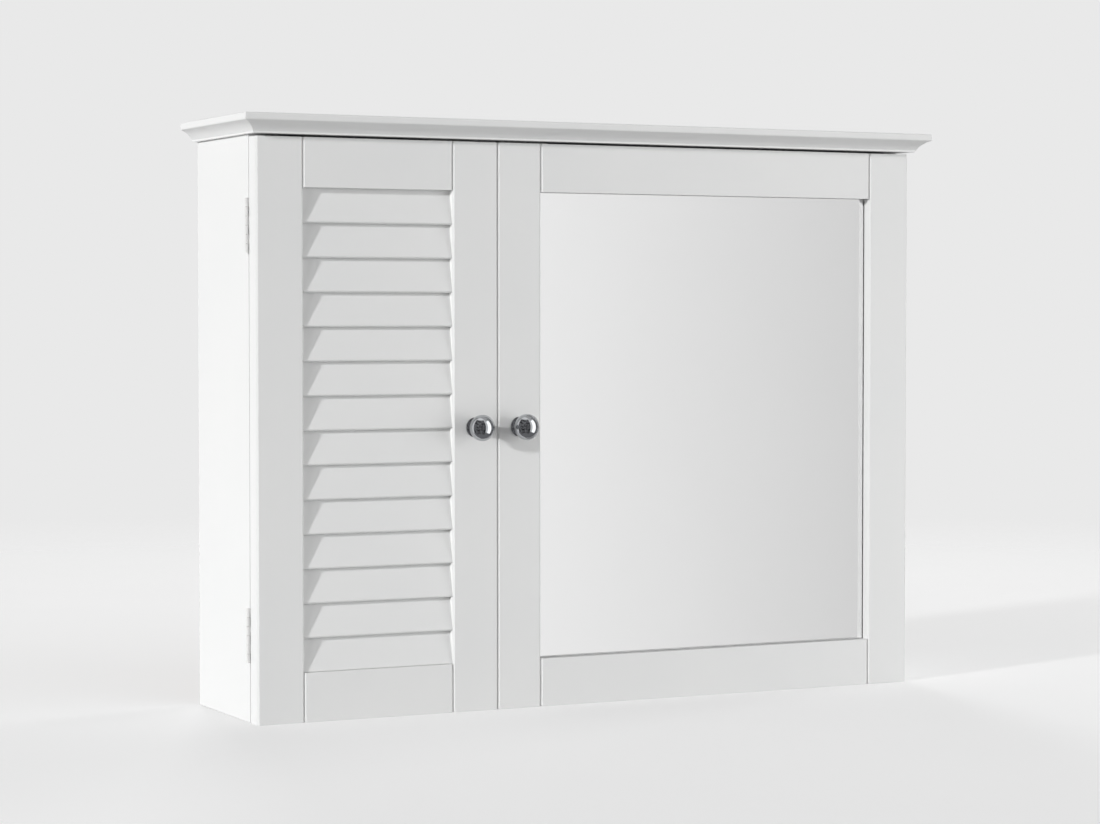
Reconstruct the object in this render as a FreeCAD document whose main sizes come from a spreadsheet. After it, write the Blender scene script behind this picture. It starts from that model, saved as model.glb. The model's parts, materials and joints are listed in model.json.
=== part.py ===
# Wall-hung bathroom cabinet with a louvred door and a framed mirror door, in millimetres.
# X runs to the right, Y into the wall and Z up. The origin is on the wall, midway between
# the two hanging screws.
import FreeCAD, Part
import Sketcher
import os
import re

Vector = FreeCAD.Vector
Rotation = FreeCAD.Rotation

SIZES = {
    # Carcass boards
    "carcass_width": 632,
    "carcass_depth": 123,
    "carcass_height": 484,
    "board": 15,
    # Hanging rail and its wall screws, measured down from the top board
    "hang_drop": 35,
    "hanging_rail_height": 70,
    "wall_hole_spacing": 450,
    "wall_hole_radius": 3,
    # Back panel in its grooves
    "back_thickness": 3,
    "back_setback": 6,
    "groove_depth": 5,
    "groove_play": 0.3,
    # Shelves on pegs
    "shelf_thickness": 12,
    "shelf_rise": 220,
    "shelf_inset": 10,
    "shelf_play": 0.5,
    "peg_radius": 2.5,
    "peg_depth": 6,
    "peg_reach": 8,
    "peg_inset": 22,
    "peg_step": 32,
    # Knock-down fittings, and the play that their holes leave
    "fit_play": 0.1,
    "dowel_radius": 4,
    "dowel_length": 24,
    "dowel_spread": 36,
    "cam_radius": 7.4,
    "cam_height": 11.5,
    "bolt_radius": 3.4,
    "bolt_anchor": 11,
    "bolt_reach": 24,
    "bolt_inset": 28,
    # Cornice moulding of the top board
    "cornice_height": 16,
    "cornice_run": 10.5,
    "side_overhang": 15,
    "front_overhang": 17,
    "nose_height": 6.5,
    "nose_round": 1.6,
    "cove_land": 1.5,
    "cove_centre_out": 5,
    # Door frames
    "louvre_door_width": 217,
    "door_gap": 0.8,
    "top_gap": 2,
    "hinge_gap": 2,
    "door_thickness": 16,
    "stile_width": 41,
    "rail_width": 41,
    "edge_chamfer": 1.5,
    "tenon_length": 10,
    "tenon_thickness": 6,
    "tenon_inset": 6,
    "tenon_play": 0.15,
    # Louvre slats, tilted in degrees
    "slat_count": 14,
    "slat_thickness": 4.5,
    "slat_tilt": 11.5,
    "slat_setback": 1.6,
    "slat_overlap": 5,
    "slat_housing": 6,
    "slat_edge": 1.5,
    "slat_play": 0.15,
    # Mirror and its backing board
    "mirror_recess": 8.5,
    "glass_thickness": 3,
    "glass_lap": 6,
    "backing_thickness": 3,
    "backing_lap": 14,
    "backing_screw_inset": 4,
    "mirror_play": 0.3,
    # Butt hinges
    "hinge_length": 45,
    "hinge_inset": 72.5,
    "hinge_axis_out": 1.9,
    "leaf_width": 12,
    "leaf_thickness": 0.8,
    "leaf_relief": 0.2,
    "barrel_radius": 1.7,
    "knuckle_count": 6,
    "knuckle_gap": 0.3,
    "pin_radius": 0.85,
    "pin_clearance": 0.05,
    "hinge_screw_spacing": 28,
    # Countersunk screws
    "screw_head_radius": 2.4,
    "screw_head_height": 0.8,
    "screw_radius": 1.4,
    "carcass_screw_length": 12,
    "door_screw_length": 10,
    # Domed knobs and the machine screws that hold them
    "knob_radius": 11,
    "knob_projection": 23,
    "knob_rim_height": 13,
    "knob_rim_thickness": 3,
    "knob_neck_radius": 5,
    "knob_neck_round": 5,
    "knob_neck_height": 6.5,
    "knob_foot_radius": 8.5,
    "knob_foot_height": 1.2,
    "knob_bore_depth": 10,
    "knob_screw_radius": 1.9,
    "knob_screw_grip": 8,
    "knob_screw_head_radius": 3.8,
    "knob_screw_head_height": 2.4,
    # Magnetic catches and their strike plates
    "catch_margin": 3,
    "catch_block_length": 32,
    "catch_base_length": 46,
    "catch_base_height": 3,
    "catch_depth": 15,
    "catch_height": 13,
    "catch_screw_spacing": 39,
    "magnet_length": 26,
    "magnet_depth": 10,
    "magnet_height": 7,
    "strike_length": 30,
    "strike_height": 11,
    "strike_thickness": 1.5,
}

doc = FreeCAD.newDocument("MirrorCabinet")
sheet = doc.addObject("Spreadsheet::Sheet", "Sizes")
for row, (alias, value) in enumerate(SIZES.items(), start=1):
    sheet.set(f"A{row}", alias)
    sheet.set(f"B{row}", str(value))
    sheet.setAlias(f"B{row}", alias)
doc.recompute()

# Heights, depths and widths that several pieces share
top = "hang_drop"
bottom = "(hang_drop - carcass_height)"
inside_bottom = f"({bottom} + board)"
shelf_bottom = f"({inside_bottom} + shelf_rise)"
front = "(-carcass_depth)"
door_back = "(-carcass_depth - hinge_gap)"
door_face = "(-carcass_depth - hinge_gap - door_thickness)"
back_front = "(-back_setback - back_thickness)"
left = "(-carcass_width / 2)"
right = "(carcass_width / 2)"
meeting = "(-carcass_width / 2 + louvre_door_width + door_gap / 2)"
mirror_door_width = "(carcass_width - louvre_door_width - door_gap)"
mirror_door_left = "(-carcass_width / 2 + louvre_door_width + door_gap)"
door_height = "(carcass_height - top_gap)"
knob_height = f"({bottom} + {door_height} / 2)"
slat_pitch = f"(({door_height} - 2 * rail_width) / slat_count)"
slat_width = f"({slat_pitch} / cos(slat_tilt * 1 deg) + slat_overlap)"

TURNS = {
    "x": Rotation(Vector(0, 1, 0), 90),
    "y": Rotation(Vector(1, 0, 0), -90),
    "-y": Rotation(Vector(1, 0, 0), 90),
    "z": Rotation(),
}
pieces = []


def keep(item):
    """Counts an object as a finished piece of the cabinet."""
    pieces.append(item)
    return item


def formula(text):
    """Sheet form of a formula that is written in plain size names."""
    return re.sub(r"[a-z_]+", lambda word: f"Sizes.{word[0]}" if word[0] in SIZES else word[0], text)


def number(text):
    """Present value of a formula."""
    return float(sheet.evalExpression(formula(text)))


def bind(item, **formulas):
    """Ties properties of an object to the sheet."""
    for name, text in formulas.items():
        item.setExpression(name, formula(text))


def place(item, at, turn=Rotation()):
    """Turns an object and ties its position to the sheet."""
    item.Placement = FreeCAD.Placement(Vector(), turn)
    for axis, text in zip("xyz", at):
        item.setExpression(f"Placement.Base.{axis}", formula(text))


def box(name, at, size, turn=Rotation()):
    """Box from its lowest corner and its three sizes."""
    item = doc.addObject("Part::Box", name)
    bind(item, Length=size[0], Width=size[1], Height=size[2])
    place(item, at, turn)
    return item


def rod(name, at, radius, length, along):
    """Round rod from the middle of its first end."""
    item = doc.addObject("Part::Cylinder", name)
    bind(item, Radius=radius, Height=length)
    place(item, at, TURNS[along])
    return item


def middle_rod(name, at, radius, half, along):
    """Round rod from its own middle."""
    start = list(at)
    start["xyz".index(along)] += f" - {half}"
    return rod(name, start, radius, f"2 * {half}", along)


def group(name, items):
    """Separate solids that share one node."""
    item = doc.addObject("Part::Compound", name)
    item.Links = items
    return item


def fuse(name, items):
    """One solid, or one cutting tool, from several."""
    item = doc.addObject("Part::MultiFuse", name)
    item.Shapes = items
    return item


def cut(name, base, tool):
    """A piece with its holes and housings taken out."""
    item = doc.addObject("Part::Cut", name)
    item.Base = base
    item.Tool = tool
    return item


def add_arc(sketch, start, end, centre_x, counter_clockwise):
    """Adds an arc between two points. Returns it with the numbers of its first and last points."""
    rise = end.y - start.y
    centre_y = (end.y + start.y) / 2 + (end.x - start.x) * (end.x + start.x - 2 * centre_x) / (2 * rise)
    centre = Vector(centre_x, centre_y, 0)
    circle = Part.Circle(centre, Vector(0, 0, 1), (start - centre).Length)
    ends = (start, end) if counter_clockwise else (end, start)
    arc = Part.ArcOfCircle(circle, circle.parameter(ends[0]), circle.parameter(ends[1]))
    return sketch.addGeometry(arc), ((1, 2) if counter_clockwise else (2, 1))


def outline(body, plane, name, corners):
    """Closed sketch through the corners. A corner of four entries starts an arc, with the
    formula of its centre and whether it runs counter-clockwise."""
    sketch = body.newObject("Sketcher::SketchObject", name)
    origin_plane = next(item for item in body.Origin.OriginFeatures if item.Role == plane)
    sketch.AttachmentSupport = [(origin_plane, "")]
    sketch.MapMode = "FlatFace"
    spots = [Vector(number(corner[0]), number(corner[1]), 0) for corner in corners]
    edges = []
    for corner, start, end in zip(corners, spots, spots[1:] + spots[:1]):
        if len(corner) == 2:
            edges.append((sketch.addGeometry(Part.LineSegment(start, end)), (1, 2)))
        else:
            edges.append(add_arc(sketch, start, end, number(corner[2]), corner[3]))

    def measure(kind, edge, point, text):
        row = sketch.addConstraint(Sketcher.Constraint(kind, -1, 1, edge, point, number(text)))
        sketch.setExpression(f"Constraints[{row}]", formula(text))

    for corner, (edge, ends), (next_edge, next_ends) in zip(corners, edges, edges[1:] + edges[:1]):
        sketch.addConstraint(Sketcher.Constraint("Coincident", edge, ends[1], next_edge, next_ends[0]))
        measure("DistanceX", edge, ends[0], corner[0])
        measure("DistanceY", edge, ends[0], corner[1])
        if len(corner) == 4:
            measure("DistanceX", edge, 3, corner[2])
    return sketch


def pad(body, sketch, length):
    """Extrudes a sketch away from its plane."""
    feature = body.newObject("PartDesign::Pad", f"{sketch.Name}_pad")
    feature.Profile = sketch
    bind(feature, Length=length)
    return feature


# Countersunk screws
def screw(name, at, heading, length, play="0"):
    """Screw with its head flush at a point and its tip along the heading, or its hole with play."""
    head = doc.addObject("Part::Cone", f"{name}_head")
    bind(head, Radius1=f"screw_head_radius + {play}", Radius2=f"screw_radius + {play}",
         Height="screw_head_height")
    place(head, at, TURNS[heading])
    shank = rod(f"{name}_shank", at, f"screw_radius + {play}", f"{length} + {play}", heading)
    return fuse(name, [head, shank])


# Butt hinges: each has a carcass leaf, a door leaf and a pin
HINGE_HEIGHTS = {
    "upper": f"({bottom} + {door_height} - hinge_inset)",
    "lower": f"({bottom} + hinge_inset)",
}
HINGE_SIDES = {
    "louvre": (f"({left} - hinge_axis_out)", 1),
    "mirror": (f"({right} + hinge_axis_out)", -1),
}
hinge_axis_y = "(-carcass_depth - hinge_gap / 2)"
knuckle_pitch = "((hinge_length + knuckle_gap) / knuckle_count)"
leaf_reach = "(hinge_axis_out + leaf_width)"


def hinge_screw_spots(side, level, into_door):
    """Points where the screws of one leaf have their heads."""
    axis_x, inward = HINGE_SIDES[side]
    x = f"{axis_x} + {inward} * (hinge_axis_out + board / 2)"
    face = "hinge_gap / 2 - leaf_thickness"
    y = f"{hinge_axis_y} - ({face})" if into_door else f"{hinge_axis_y} + {face}"
    return [(x, y, f"{HINGE_HEIGHTS[level]} + {end} * hinge_screw_spacing / 2") for end in (-1, 1)]


def hinge_screws(name, side, into_door, play="0"):
    """Screws of the two leaves on one side of a joint."""
    heading = "-y" if into_door else "y"
    length = "door_screw_length" if into_door else "carcass_screw_length"
    spots = [spot for level in HINGE_HEIGHTS for spot in hinge_screw_spots(side, level, into_door)]
    return [screw(f"{name}_{index}", spot, heading, length, play) for index, spot in enumerate(spots)]


def hinge_leaf(name, side, level, into_door, screw_holes):
    """Flat leaf rolled into every other knuckle round the hinge pin."""
    axis_x, inward = HINGE_SIDES[side]
    low = f"({HINGE_HEIGHTS[level]} - hinge_length / 2)"
    plate_x = axis_x if inward > 0 else f"{axis_x} - {leaf_reach}"
    plate_y = "-hinge_gap / 2" if into_door else "hinge_gap / 2 - leaf_thickness"
    plate = box(f"{name}_plate", (plate_x, f"{hinge_axis_y} + ({plate_y})", low),
                (leaf_reach, "leaf_thickness", "hinge_length"))
    barrel = rod(f"{name}_barrel", (axis_x, hinge_axis_y, low), "barrel_radius", "hinge_length", "z")
    blank = fuse(f"{name}_blank", [plate, barrel])

    clear = "(barrel_radius + knuckle_gap)"
    inner = "(hinge_axis_out + leaf_relief)"
    relief_x = f"{axis_x} - {clear}" if inward > 0 else f"{axis_x} - {inner}"
    bore = "pin_radius + pin_clearance"
    tools = [rod(f"{name}_bore", (axis_x, hinge_axis_y, low), bore, "hinge_length", "z")]
    for knuckle in range(0 if into_door else 1, int(number("knuckle_count")), 2):
        relief_z = f"{low} + {knuckle} * {knuckle_pitch} - knuckle_gap"
        corner = (relief_x, f"{hinge_axis_y} - {clear}", relief_z)
        size = (f"{clear} + {inner}", f"2 * {clear}", f"{knuckle_pitch} + knuckle_gap")
        tools.append(box(f"{name}_relief_{knuckle}", corner, size))
    return cut(name, blank, fuse(f"{name}_tools", tools + screw_holes))


def hinge_pin(name, side, level):
    """Plain pin through all knuckles of a hinge."""
    middle = (HINGE_SIDES[side][0], hinge_axis_y, HINGE_HEIGHTS[level])
    return middle_rod(name, middle, "pin_radius", "(hinge_length / 2)", "z")


carcass_hinge_screws = []
carcass_hinge_holes = []
door_hinge_screws = {}
door_hinge_holes = {}
hinge_pins = []
for side in HINGE_SIDES:
    carcass_hinge_screws += hinge_screws(f"{side}_carcass_screw", side, False)
    own_holes = hinge_screws(f"{side}_carcass_hole", side, False, "fit_play")
    carcass_hinge_holes += own_holes
    door_hinge_screws[side] = hinge_screws(f"{side}_door_screw", side, True)
    door_hinge_holes[side] = hinge_screws(f"{side}_door_hole", side, True, "fit_play")
    for level in HINGE_HEIGHTS:
        name = f"{side}_{level}_hinge"
        keep(hinge_leaf(f"{name}_carcass_leaf", side, level, False, own_holes))
        keep(hinge_leaf(f"{name}_door_leaf", side, level, True, door_hinge_holes[side]))
        hinge_pins.append(hinge_pin(f"{name}_pin", side, level))
keep(group("hinge_pins", hinge_pins))

# Magnetic catches under the top board, one each side of the divider
catch_offset = "(board / 2 + catch_margin + catch_base_length / 2)"
CATCH_MIDDLES = {"louvre": f"({meeting} - {catch_offset})", "mirror": f"({meeting} + {catch_offset})"}
catch_screws = []
catch_holes = []
magnets = []
for side, middle in CATCH_MIDDLES.items():
    screw_y = f"{front} + catch_depth / 2"
    own_holes = []
    for end in (-1, 1):
        spot = (f"{middle} + {end} * catch_screw_spacing / 2", screw_y, f"{top} - catch_base_height")
        catch_screws.append(screw(f"{side}_catch_screw_{end + 1}", spot, "z", "carcass_screw_length"))
        hole_name = f"{side}_catch_hole_{end + 1}"
        own_holes.append(screw(hole_name, spot, "z", "carcass_screw_length", "fit_play"))
    catch_holes += own_holes
    base = box(f"{side}_catch_base",
               (f"{middle} - catch_base_length / 2", front, f"{top} - catch_base_height"),
               ("catch_base_length", "catch_depth", "catch_base_height"))
    block = box(f"{side}_catch_block",
                (f"{middle} - catch_block_length / 2", front, f"{top} - catch_height"),
                ("catch_block_length", "catch_depth", "catch_height"))
    magnet_low = f"{top} - (catch_base_height + catch_height + magnet_height) / 2"
    magnet = box(f"{side}_magnet", (f"{middle} - magnet_length / 2", front, magnet_low),
                 ("magnet_length", "magnet_depth", "magnet_height"))
    pocket = box(f"{side}_magnet_pocket",
                 (f"{middle} - magnet_length / 2 - fit_play", front, f"{magnet_low} - fit_play"),
                 ("magnet_length + 2 * fit_play", "magnet_depth + fit_play", "magnet_height + 2 * fit_play"))
    case = fuse(f"{side}_catch_blank", [base, block])
    keep(cut(f"{side}_catch_case", case, fuse(f"{side}_catch_tools", [pocket] + own_holes)))
    magnets.append(magnet)
keep(group("catch_magnets", magnets))
keep(group("carcass_screws", carcass_hinge_screws + catch_screws))

# Dowels, cam bolts and cams that hold the boards together
back_row = "(-bolt_inset)"
front_row = "(-carcass_depth + bolt_inset)"
middle_row = "(-carcass_depth / 2)"
SIDE_MIDDLES = (f"{left} + board / 2", f"{right} - board / 2")
SIDE_INSIDES = ((f"({left} + board)", 1), (f"({right} - board)", -1))


def dowels(name, play):
    """Dowels centred on the faces where two boards meet, or their holes with play."""
    spots = [(meeting, y, z, "z") for y in (back_row, front_row) for z in (top, inside_bottom)]
    spots += [(x, middle_row, top, "z") for x in SIDE_MIDDLES]
    spots += [(x, middle_row, f"{bottom} + board / 2", "x") for x, _ in SIDE_INSIDES]
    rail_middle = f"{top} - hanging_rail_height / 2"
    spots += [(x, "-board / 2", f"{rail_middle} + {end} * dowel_spread / 2", "x")
              for x, _ in SIDE_INSIDES for end in (-1, 1)]
    radius = f"dowel_radius + {play}"
    half = f"(dowel_length / 2 + {play})"
    return [middle_rod(f"{name}_{index}", spot[:3], radius, half, spot[3])
            for index, spot in enumerate(spots)]


def cam_bolts(name, play):
    """Bolts from the top board down into the sides, and from the sides into the bottom panel."""
    radius = f"bolt_radius + {play}"
    length = f"bolt_anchor + bolt_reach + 2 * {play}"
    items = []
    for y in (back_row, front_row):
        for x in SIDE_MIDDLES:
            start = (x, y, f"{top} - bolt_reach - {play}")
            items.append(rod(f"{name}_top_{len(items)}", start, radius, length, "z"))
        for x, inward in SIDE_INSIDES:
            outer_end = "bolt_anchor" if inward > 0 else "bolt_reach"
            start = (f"{x} - {outer_end} - {play}", y, f"{bottom} + board / 2")
            items.append(rod(f"{name}_bottom_{len(items)}", start, radius, length, "x"))
    return items


def cams(name, play):
    """Cams at the bolts' ends, sunk into the sides' inner faces and the underside of the bottom."""
    radius = f"cam_radius + {play}"
    height = f"(cam_height + {play})"
    items = []
    for y in (back_row, front_row):
        for x, inward in SIDE_INSIDES:
            start = (f"{x} - {height}" if inward > 0 else x, y, f"{top} - bolt_reach")
            items.append(rod(f"{name}_side_{len(items)}", start, radius, height, "x"))
            under = (f"{x} + {inward} * bolt_reach", y, bottom)
            items.append(rod(f"{name}_under_{len(items)}", under, radius, height, "z"))
    return items


dowel_holes = dowels("dowel_hole", "fit_play")
bolt_holes = cam_bolts("bolt_hole", "fit_play")
cam_holes = cams("cam_hole", "fit_play")
keep(group("carcass_dowels", dowels("dowel", "0")))
keep(group("cam_bolts", cam_bolts("cam_bolt", "0")))
keep(cut("cam_locks", group("cam_blanks", cams("cam", "0")), fuse("cam_bores", bolt_holes)))

# Shelf pegs, in the middle one of three rows of holes
PEG_WALLS = (
    (f"({left} + board)", 1),
    (f"({meeting} - board / 2)", -1),
    (f"({meeting} + board / 2)", 1),
    (f"({right} - board)", -1),
)
PEG_ROWS = (f"({front} + shelf_inset + peg_inset)", f"({back_front} - peg_inset)")
peg_height = f"({shelf_bottom} - peg_radius - fit_play)"
pegs = []
peg_holes = []
for wall, inward in PEG_WALLS:
    for y in PEG_ROWS:
        start = f"{wall} - peg_depth" if inward > 0 else f"{wall} - peg_reach"
        name = f"peg_{len(pegs)}"
        pegs.append(rod(name, (start, y, peg_height), "peg_radius", "peg_depth + peg_reach", "x"))
        start = f"{wall} - peg_depth - fit_play" if inward > 0 else wall
        for step in (-1, 0, 1):
            at = (start, y, f"{peg_height} + {step} * peg_step")
            hole = rod(f"{name}_hole_{step + 1}", at, "peg_radius + fit_play", "peg_depth + fit_play", "x")
            peg_holes.append(hole)
keep(group("shelf_pegs", pegs))

# Back panel and its grooves
back_size = ("carcass_width - 2 * board + 2 * groove_depth", "back_thickness",
             "carcass_height - board - hanging_rail_height + 2 * groove_depth")
back_corner = (f"{left} + board - groove_depth", back_front, f"{inside_bottom} - groove_depth")
keep(box("back_panel", back_corner, back_size))
groove = box("back_groove", [f"{text} - groove_play" for text in back_corner],
             [f"{text} + 2 * groove_play" for text in back_size])

# Carcass boards, all drilled by the same set of holes
carcass_holes = fuse("carcass_holes", dowel_holes + bolt_holes + cam_holes + peg_holes
                     + carcass_hinge_holes + catch_holes + [groove])
side_size = ("board", "carcass_depth", "carcass_height")
keep(cut("left_side_panel", box("left_side_blank", (left, front, bottom), side_size), carcass_holes))
keep(cut("right_side_panel", box("right_side_blank", (f"{right} - board", front, bottom), side_size),
         carcass_holes))
bottom_blank = box("bottom_blank", (f"{left} + board", front, bottom),
                   ("carcass_width - 2 * board", "carcass_depth", "board"))
keep(cut("bottom_panel", bottom_blank, carcass_holes))

# Hanging rail with the two wall-screw holes
rail_blank = box("hanging_rail_blank", (f"{left} + board", "-board", f"{top} - hanging_rail_height"),
                 ("carcass_width - 2 * board", "board", "hanging_rail_height"))
wall_holes = [rod(f"wall_hole_{end + 1}", (f"{end} * wall_hole_spacing / 2", "-board", "0"),
                  "wall_hole_radius", "board", "y") for end in (-1, 1)]
keep(cut("hanging_rail", rail_blank, fuse("hanging_rail_tools", wall_holes + [carcass_holes])))

# Centre divider, notched round the hanging rail
divider_blank = box("divider_blank", (f"{meeting} - board / 2", front, inside_bottom),
                    ("board", f"carcass_depth + {back_front}", "carcass_height - board"))
notch_low = f"{top} - hanging_rail_height - fit_play"
notch = box("rail_notch", (f"{meeting} - board / 2", "-board - fit_play", notch_low),
            ("board", "board", "hanging_rail_height + fit_play"))
keep(cut("centre_divider", divider_blank, fuse("divider_tools", [notch, carcass_holes])))

# Shelves
shelf_depth = f"carcass_depth + {back_front} - shelf_inset - shelf_play"
SHELVES = {
    "left_shelf": (f"{left} + board", "louvre_door_width + door_gap / 2 - board - board / 2"),
    "right_shelf": (f"{meeting} + board / 2", f"{mirror_door_width} + door_gap / 2 - board - board / 2"),
}
for name, (start, clear_width) in SHELVES.items():
    keep(box(name, (f"{start} + shelf_play", f"{front} + shelf_inset", shelf_bottom),
             (f"{clear_width} - 2 * shelf_play", shelf_depth, "shelf_thickness")))

# Cornice top board: the moulding along the front and along the sides, mitred where they cross
cornice_depth = "(carcass_depth + hinge_gap + door_thickness + front_overhang)"
cornice_half = "(carcass_width / 2 + side_overhang)"


def moulded_edge(reach, sign=""):
    """Corners of a moulded edge from underside to top: a shallow cove and a nose with round corners."""
    base = f"{sign}({reach} - cornice_run)"
    cove_centre = f"{sign}({reach} + cove_centre_out)"
    nose = f"{sign}({reach})"
    nose_back = f"{sign}({reach} - nose_round)"
    return [
        (base, "0"),
        (base, "cove_land", cove_centre, True),
        (nose_back, "cornice_height - nose_height", nose_back, False),
        (nose, "cornice_height - nose_height + nose_round"),
        (nose, "cornice_height - nose_round", nose_back, False),
        (nose_back, "cornice_height"),
    ]


def reversed_edge(corners):
    """The same edge from the top to the underside. An arc belongs to the corner that it now starts from."""
    spots = [corner[:2] for corner in reversed(corners)]
    arcs = [corner[2:] for corner in reversed(corners[:-1])] + [()]
    return [spot + arc for spot, arc in zip(spots, arcs)]


front_run = doc.addObject("PartDesign::Body", "cornice_front_run")
front_corners = [("0", "0")] + moulded_edge(cornice_depth, "-") + [("0", "cornice_height")]
pad(front_run, outline(front_run, "YZ_Plane", "cornice_front_section", front_corners), f"2 * {cornice_half}")
place(front_run, (f"-{cornice_half}", "0", top))

side_run = doc.addObject("PartDesign::Body", "cornice_side_run")
side_corners = moulded_edge(cornice_half, "-") + reversed_edge(moulded_edge(cornice_half))
side_sketch = outline(side_run, "XZ_Plane", "cornice_side_section", side_corners)
pad(side_run, side_sketch, cornice_depth)
place(side_run, ("0", "0", top))
cornice_blank = doc.addObject("Part::MultiCommon", "cornice_blank")
cornice_blank.Shapes = [front_run, side_run]
keep(cut("cornice_top_board", cornice_blank, carcass_holes))


# Door frames
def frame_section(body, name, width):
    """Section of a frame member, eased along both front edges."""
    face = "-door_thickness"
    shoulder = "-(door_thickness - edge_chamfer)"
    return outline(body, "XY_Plane", name, [
        ("0", "0"),
        (width, "0"),
        (width, shoulder),
        (f"{width} - edge_chamfer", face),
        ("edge_chamfer", face),
        ("0", shoulder),
    ])


def stile_blank(name, x):
    """Upright frame member, as tall as the door."""
    body = doc.addObject("PartDesign::Body", name)
    pad(body, frame_section(body, f"{name}_section", "stile_width"), door_height)
    place(body, (x, door_back, bottom))
    return body


def rail_with_tenons(name, x, z, length):
    """Cross member with a tenon at each end. Its eased ends meet the stiles in a V-groove."""
    body = doc.addObject("PartDesign::Body", name)
    pad(body, frame_section(body, f"{name}_section", length), "rail_width")
    tenons = outline(body, "XZ_Plane", f"{name}_tenons", [
        ("-tenon_length", "tenon_inset"),
        (f"{length} + tenon_length", "tenon_inset"),
        (f"{length} + tenon_length", "rail_width - tenon_inset"),
        ("-tenon_length", "rail_width - tenon_inset"),
    ])
    tenons.setExpression("AttachmentOffset.Base.z", formula("(door_thickness - tenon_thickness) / 2"))
    pad(body, tenons, "tenon_thickness")
    place(body, (x, door_back, z))
    return body


def mortises(name, x, z, length):
    """Room for the tenons of one rail in both stiles."""
    corner = (f"{x} - tenon_length - tenon_play",
              f"{door_back} - (door_thickness + tenon_thickness) / 2 - tenon_play",
              f"{z} + tenon_inset - tenon_play")
    size = (f"{length} + 2 * tenon_length + 2 * tenon_play", "tenon_thickness + 2 * tenon_play",
            "rail_width - 2 * tenon_inset + 2 * tenon_play")
    return box(name, corner, size)


def door_frame(side, door_left, width, knob_x, housings):
    """Two stiles and two rails of a door, cut by its housings, hinge screws and knob screw."""
    inner_left = f"({door_left} + stile_width)"
    inner_width = f"({width} - 2 * stile_width)"
    rails = {"bottom": bottom, "top": f"({bottom} + {door_height} - rail_width)"}
    knob_hole = rod(f"{side}_knob_hole", (knob_x, door_face, knob_height), "knob_screw_radius + fit_play",
                    "door_thickness", "y")
    tools = housings + door_hinge_holes[side] + [knob_hole]
    rail_tool = fuse(f"{side}_rail_tools", tools)
    tenon_rooms = [mortises(f"{side}_{end}_mortises", inner_left, z, inner_width)
                   for end, z in rails.items()]
    stile_tool = fuse(f"{side}_stile_tools", tools + tenon_rooms)
    stiles = {"left": door_left, "right": f"({door_left} + {width} - stile_width)"}
    for end, x in stiles.items():
        name = f"{side}_door_{end}_stile"
        keep(cut(name, stile_blank(f"{name}_blank", x), stile_tool))
    for end, z in rails.items():
        name = f"{side}_door_{end}_rail"
        keep(cut(name, rail_with_tenons(f"{name}_blank", inner_left, z, inner_width), rail_tool))


# Knobs and strike plates
def knob(name, x):
    """Knob turned in one piece: flared foot, hollow neck, domed cap and a bore for its screw."""
    body = doc.addObject("PartDesign::Body", name)
    bore = "(knob_screw_radius + fit_play)"
    section = outline(body, "XY_Plane", f"{name}_section", [
        (bore, "0"),
        ("knob_foot_radius", "0"),
        ("knob_foot_radius", "knob_foot_height", "knob_neck_radius + knob_neck_round", False),
        ("knob_neck_radius", "knob_neck_height", "knob_radius", False),
        ("knob_radius", "knob_rim_height"),
        ("knob_radius", "knob_rim_height + knob_rim_thickness", "0", True),
        ("0", "knob_projection"),
        ("0", "knob_bore_depth"),
        (bore, "knob_bore_depth"),
    ])
    turned = body.newObject("PartDesign::Revolution", f"{name}_turned")
    turned.Profile = section
    turned.ReferenceAxis = (section, ["V_Axis"])
    turned.Angle = 360
    place(body, (x, door_face, knob_height), Rotation(Vector(0, 0, 1), 180))
    return body


def knob_screw(name, x):
    """Machine screw through the stile into the knob, with its head inside the cabinet."""
    shaft = rod(f"{name}_shaft", (x, f"{door_face} - knob_screw_grip", knob_height), "knob_screw_radius",
                "door_thickness + knob_screw_grip", "y")
    head = rod(f"{name}_head", (x, door_back, knob_height), "knob_screw_head_radius",
               "knob_screw_head_height", "y")
    return fuse(name, [shaft, head])


strike_middle = f"({top} - (catch_base_height + catch_height) / 2)"


def strike_plate(side, hole):
    """Steel plate behind the door that the catch pulls on."""
    low = f"{strike_middle} - strike_height / 2"
    plate = box(f"{side}_strike_blank", (f"{CATCH_MIDDLES[side]} - strike_length / 2", door_back, low),
                ("strike_length", "strike_thickness", "strike_height"))
    return cut(f"{side}_strike_plate", plate, hole)


def strike_screw(side, name, play):
    """Screw through the middle of a strike plate into the door."""
    at = (CATCH_MIDDLES[side], f"{door_back} + strike_thickness", strike_middle)
    return screw(name, at, "-y", "door_screw_length", play)


# Louvre door: slats housed at a tilt in the stiles, the first and last also in the rails
slat_left = f"({left} + stile_width - slat_housing)"
slat_length = "(louvre_door_width - 2 * stile_width + 2 * slat_housing)"
slat_front = f"({door_face} + slat_setback)"
# A turn about X with the top towards the wall. The sheet sets how far.
LEANING = Rotation(Vector(1, 0, 0), -1)


def slat_low(index):
    """Height of a slat's lower front edge."""
    return f"({bottom} + rail_width + {index} * {slat_pitch})"


def tilt(item):
    """Ties the lean of an object to the sheet."""
    item.setExpression("Placement.Rotation.Angle", formula("-slat_tilt"))
    return item


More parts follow.
